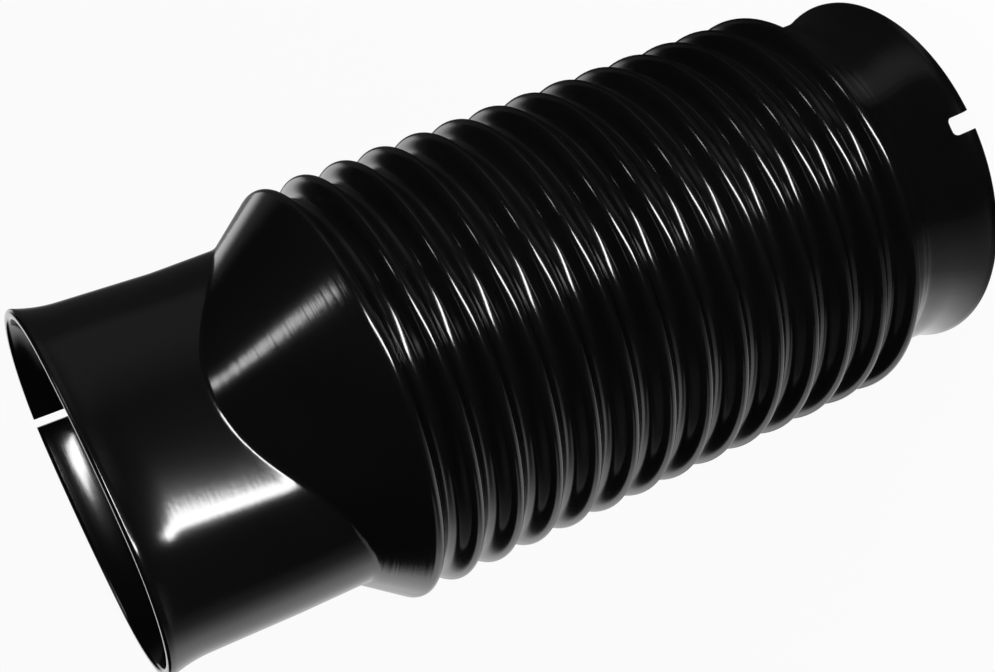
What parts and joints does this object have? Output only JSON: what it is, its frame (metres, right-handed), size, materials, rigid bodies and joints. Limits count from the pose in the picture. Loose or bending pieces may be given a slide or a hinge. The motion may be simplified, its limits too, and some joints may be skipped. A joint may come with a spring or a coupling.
{
  "type": "carburettor intake boot",
  "caption": "Moulded rubber bellows duct with a round flared cuff at one end and a cone leading into an oval cuff at the other, joining an air cleaner to a carburettor.",
  "frame": {"origin": "centre of the round rim that the boot stands on", "axes": "+Z along the duct towards the oval mouth, X the long way of the oval, Y its short way"},
  "size_m": [0.074, 0.074, 0.1621],
  "materials": {
    "rubber": "glossy moulded black"
  },
  "bodies": {
    "root": {"intake_boot": "rubber"}
  },
  "joints": []
}
